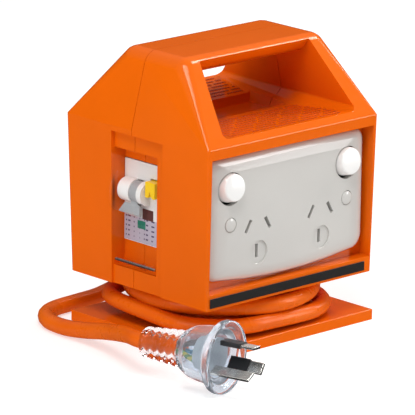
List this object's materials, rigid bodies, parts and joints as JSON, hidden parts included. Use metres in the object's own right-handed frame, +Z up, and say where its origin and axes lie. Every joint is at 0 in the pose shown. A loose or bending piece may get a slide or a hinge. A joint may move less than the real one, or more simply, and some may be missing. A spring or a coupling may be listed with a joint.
{
  "type": "portable power distribution box",
  "caption": "House-shaped carry box with a through handle, a twin switched socket outlet, a protective breaker behind a clear flap, and a supply cord wound under the case.",
  "frame": {"origin": "centre of the base plate across its width, on its flat underside, below the middle of the case", "axes": "+Z up, -Y is the way the socket outlet faces, -X is the way the clear flap faces"},
  "size_m": [0.169, 0.1909, 0.153],
  "materials": {
    "orange_shell": "glossy orange moulded plastic",
    "ivory_plate": "gloss off-white moulded plastic",
    "white_plastic": "gloss white plastic",
    "inner_plastic": "matt white moulding",
    "dark_moulding": "matt charcoal moulding",
    "grey_plastic": "matt grey plastic",
    "yellow_plastic": "matt yellow plastic",
    "green_plastic": "matt green plastic",
    "clear_plastic": "clear moulded plastic",
    "clear_vinyl": "clear soft vinyl",
    "black_label": "matt black strip",
    "black_sleeve": "black insulating sleeve",
    "gland_rubber": "black rubber",
    "brass": "brass",
    "nickel": "nickel-plated brass",
    "zinc_steel": "zinc-plated steel",
    "cord_sheath": "orange flexible PVC sheath",
    "wire_brown": "brown insulation",
    "wire_blue": "light blue insulation",
    "wire_earth": "green and yellow insulation"
  },
  "bodies": {
    "case": {"front_shell": "orange_shell", "rear_shell": "orange_shell", "base_plate": "orange_shell", "cord_spool": "orange_shell", "outlet_plate": "ivory_plate", "screw_cap_left": "ivory_plate", "screw_cap_right": "ivory_plate", "breaker_case": "white_plastic", "cord_clamp": "inner_plastic", "plug_core": "inner_plastic", "outlet_block": "dark_moulding", "trip_flag": "green_plastic", "flap_bracket": "clear_plastic", "plug_body": "clear_vinyl", "plug_boot": "clear_vinyl", "label_strip": "black_label", "active_pin_sleeve": "black_sleeve", "neutral_pin_sleeve": "black_sleeve", "cord_gland": "gland_rubber", "left_active_contact": "brass", "left_neutral_contact": "brass", "left_earth_contact": "brass", "right_active_contact": "brass", "right_neutral_contact": "brass", "right_earth_contact": "brass", "earth_bar": "brass", "plug_active_pin": "nickel", "plug_neutral_pin": "nickel", "plug_earth_pin": "nickel", "plate_screw_left": "zinc_steel", "plate_screw_right": "zinc_steel", "case_screw_1": "zinc_steel", "case_screw_2": "zinc_steel", "case_screw_3": "zinc_steel", "case_screw_4": "zinc_steel", "base_screw_1": "zinc_steel", "base_screw_2": "zinc_steel", "base_screw_3": "zinc_steel", "base_screw_4": "zinc_steel", "clamp_screw_1": "zinc_steel", "clamp_screw_2": "zinc_steel", "flap_hinge_pin": "zinc_steel", "mounting_rail": "zinc_steel", "cord_winding": "cord_sheath", "cord_tail": "cord_sheath", "cord_inlet": "cord_sheath", "inlet_active_wire": "wire_brown", "load_active_wire": "wire_brown", "plug_active_wire": "wire_brown", "inlet_neutral_wire": "wire_blue", "load_neutral_wire": "wire_blue", "plug_neutral_wire": "wire_blue", "inlet_earth_wire": "wire_earth", "load_earth_wire": "wire_earth", "plug_earth_wire": "wire_earth"},
    "left_rocker": {"rocker_left": "white_plastic"},
    "right_rocker": {"rocker_right": "white_plastic"},
    "toggle": {"breaker_toggle": "grey_plastic"},
    "button": {"test_button": "yellow_plastic"},
    "flap": {"clear_flap": "clear_plastic"}
  },
  "joints": [
    {"name": "left_rocker_switch", "type": "hinge", "parent": "case", "child": "left_rocker", "pos_m": [-0.042, -0.0446, 0.089], "axis": [1, 0, 0], "range_deg": [0, 18]},
    {"name": "right_rocker_switch", "type": "hinge", "parent": "case", "child": "right_rocker", "pos_m": [0.042, -0.0446, 0.089], "axis": [1, 0, 0], "range_deg": [0, 18]},
    {"name": "breaker_toggle_swing", "type": "hinge", "parent": "case", "child": "toggle", "pos_m": [-0.052, 0.0074, 0.0775], "axis": [0, 1, 0], "range_deg": [0, 95]},
    {"name": "test_button_press", "type": "slide", "parent": "case", "child": "button", "axis": [1, 0, 0], "range_m": [0, 0.002], "stiffness_N_per_m": 300},
    {"name": "flap_hinge", "type": "hinge", "parent": "case", "child": "flap", "pos_m": [-0.0592, 0, 0.0406], "axis": [0, -1, 0], "range_deg": [0, 100]}
  ]
}
